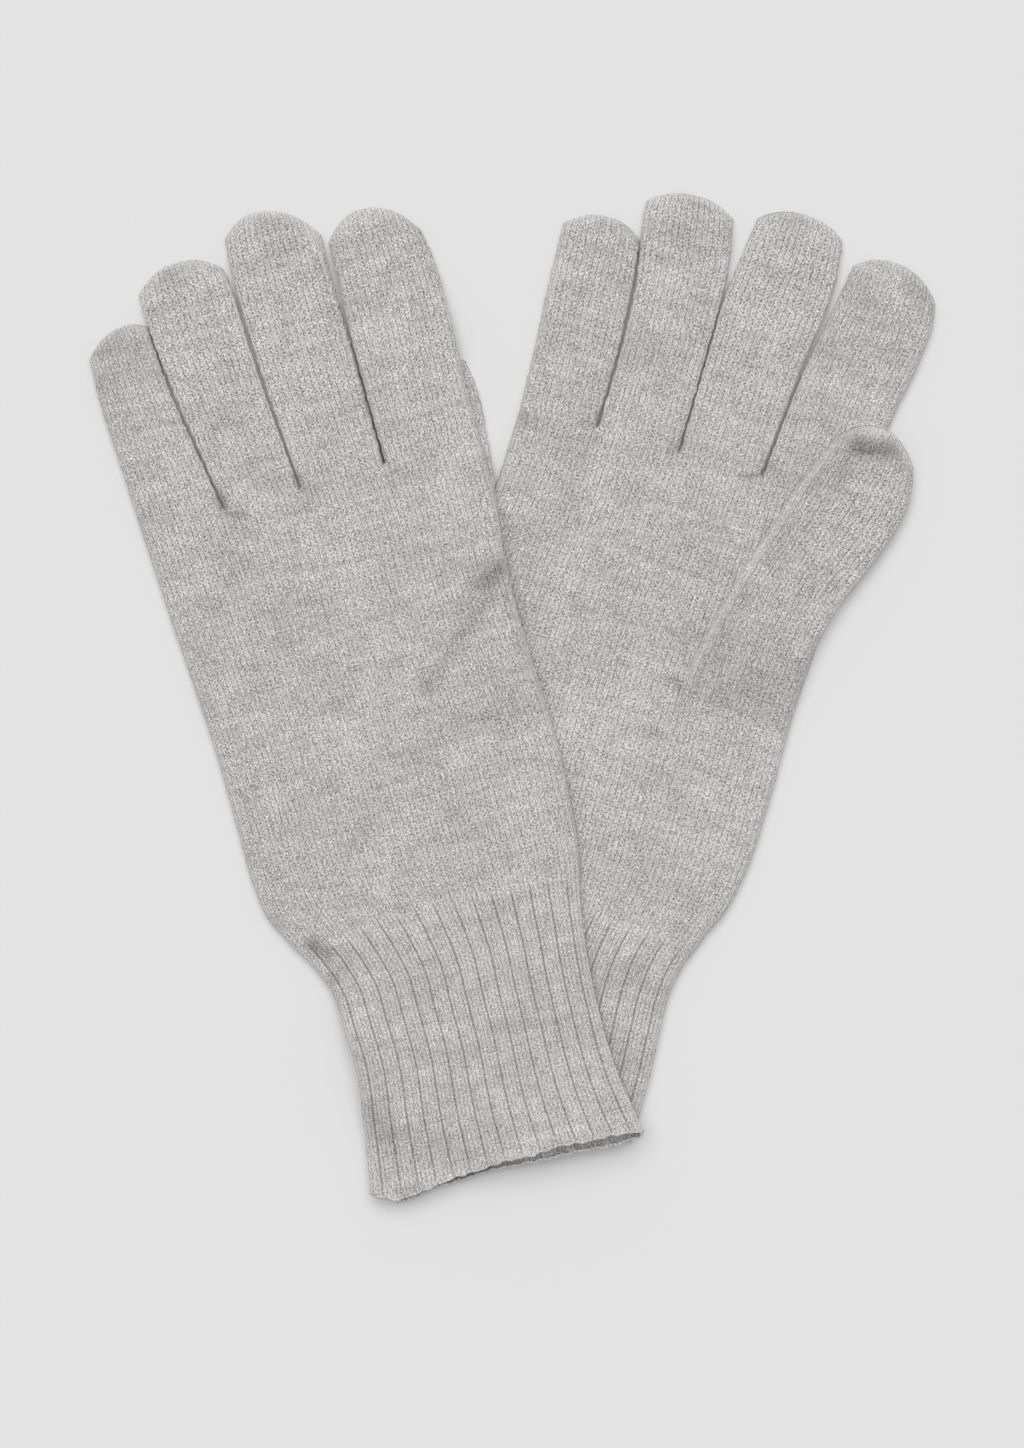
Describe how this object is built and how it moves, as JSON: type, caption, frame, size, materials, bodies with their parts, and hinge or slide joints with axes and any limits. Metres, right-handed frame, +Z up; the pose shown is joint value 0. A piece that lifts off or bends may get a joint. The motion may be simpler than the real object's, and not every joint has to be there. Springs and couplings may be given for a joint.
{
  "type": "knitted gloves",
  "caption": "Pair of plain grey knitted gloves lying flat, one palm up with its thumb folded in, the other over it, with ribbed cuffs.",
  "frame": {"origin": "centre of the footprint of both gloves, on the surface they lie on", "axes": "+Z up from the surface, +Y towards the fingertips"},
  "size_m": [0.2306, 0.2756, 0.0208],
  "materials": {
    "plain_knit": "heather grey stockinette knit",
    "thumb_knit": "heather grey stockinette knit",
    "ribbed_cuff_knit": "heather grey three by one rib knit"
  },
  "bodies": {
    "right_glove": {"right_hand": "plain_knit", "right_pinky_base": "plain_knit", "right_ring_base": "plain_knit", "right_middle_base": "plain_knit", "right_index_base": "plain_knit", "right_thumb_base": "thumb_knit"},
    "right_cuff_flap": {"right_cuff": "ribbed_cuff_knit", "right_cuff_welt": "ribbed_cuff_knit"},
    "right_pinky_tip": {"right_pinky_end": "plain_knit"},
    "right_ring_tip": {"right_ring_end": "plain_knit"},
    "right_middle_tip": {"right_middle_end": "plain_knit"},
    "right_index_tip": {"right_index_end": "plain_knit"},
    "right_thumb_tip": {"right_thumb_end": "thumb_knit"},
    "left_glove": {"left_hand": "plain_knit", "left_pinky_base": "plain_knit", "left_ring_base": "plain_knit", "left_middle_base": "plain_knit", "left_index_base": "plain_knit", "left_thumb_base": "thumb_knit"},
    "left_cuff_flap": {"left_cuff": "ribbed_cuff_knit", "left_cuff_welt": "ribbed_cuff_knit"},
    "left_pinky_tip": {"left_pinky_end": "plain_knit"},
    "left_ring_tip": {"left_ring_end": "plain_knit"},
    "left_middle_tip": {"left_middle_end": "plain_knit"},
    "left_index_tip": {"left_index_end": "plain_knit"},
    "left_thumb_tip": {"left_thumb_end": "thumb_knit"}
  },
  "joints": [
    {"name": "left_glove_lift", "type": "slide", "parent": "right_glove", "child": "left_glove", "axis": [0, 0, 1], "range_m": [0, 0.08]},
    {"name": "right_pinky_curl", "type": "hinge", "parent": "right_glove", "child": "right_pinky_tip", "pos_m": [0.01736, 0.09314, 0.0062], "axis": [0.9598, -0.2807, 0], "range_deg": [0, 90]},
    {"name": "right_ring_curl", "type": "hinge", "parent": "right_glove", "child": "right_ring_tip", "pos_m": [0.04059, 0.09052, 0.0062], "axis": [0.9598, -0.2807, 0], "range_deg": [0, 90]},
    {"name": "right_middle_curl", "type": "hinge", "parent": "right_glove", "child": "right_middle_tip", "pos_m": [0.06459, 0.08558, 0.0062], "axis": [0.9598, -0.2807, 0], "range_deg": [0, 90]},
    {"name": "right_index_curl", "type": "hinge", "parent": "right_glove", "child": "right_index_tip", "pos_m": [0.08952, 0.07621, 0.0062], "axis": [0.9598, -0.2807, 0], "range_deg": [0, 90]},
    {"name": "right_thumb_lift", "type": "hinge", "parent": "right_glove", "child": "right_thumb_tip", "pos_m": [0.07935, 0.03334, 0.0129], "axis": [0.9598, -0.2807, 0], "range_deg": [0, 80]},
    {"name": "right_cuff_bend", "type": "hinge", "parent": "right_glove", "child": "right_cuff_flap", "pos_m": [0.01335, -0.05592, 0], "axis": [0.9598, -0.2807, 0], "range_deg": [0, 60]},
    {"name": "left_pinky_curl", "type": "hinge", "parent": "left_glove", "child": "left_pinky_tip", "pos_m": [-0.09719, 0.0662, 0.0062], "axis": [0.965, 0.2622, 0], "range_deg": [0, 90]},
    {"name": "left_ring_curl", "type": "hinge", "parent": "left_glove", "child": "left_ring_tip", "pos_m": [-0.0768, 0.07485, 0.0062], "axis": [0.965, 0.2622, 0], "range_deg": [0, 90]},
    {"name": "left_middle_curl", "type": "hinge", "parent": "left_glove", "child": "left_middle_tip", "pos_m": [-0.0536, 0.08323, 0.0062], "axis": [0.965, 0.2622, 0], "range_deg": [0, 90]},
    {"name": "left_index_curl", "type": "hinge", "parent": "left_glove", "child": "left_index_tip", "pos_m": [-0.02864, 0.09364, 0.0127], "axis": [0.965, 0.2622, 0], "range_deg": [0, 90]},
    {"name": "left_thumb_drop", "type": "hinge", "parent": "left_glove", "child": "left_thumb_tip", "pos_m": [-0.0156, 0.04899, 0], "axis": [-0.965, -0.2622, 0], "range_deg": [0, 60]},
    {"name": "left_cuff_bend", "type": "hinge", "parent": "left_glove", "child": "left_cuff_flap", "pos_m": [-0.02062, -0.0562, 0.0136], "axis": [-0.965, -0.2622, 0], "range_deg": [0, 60]}
  ]
}
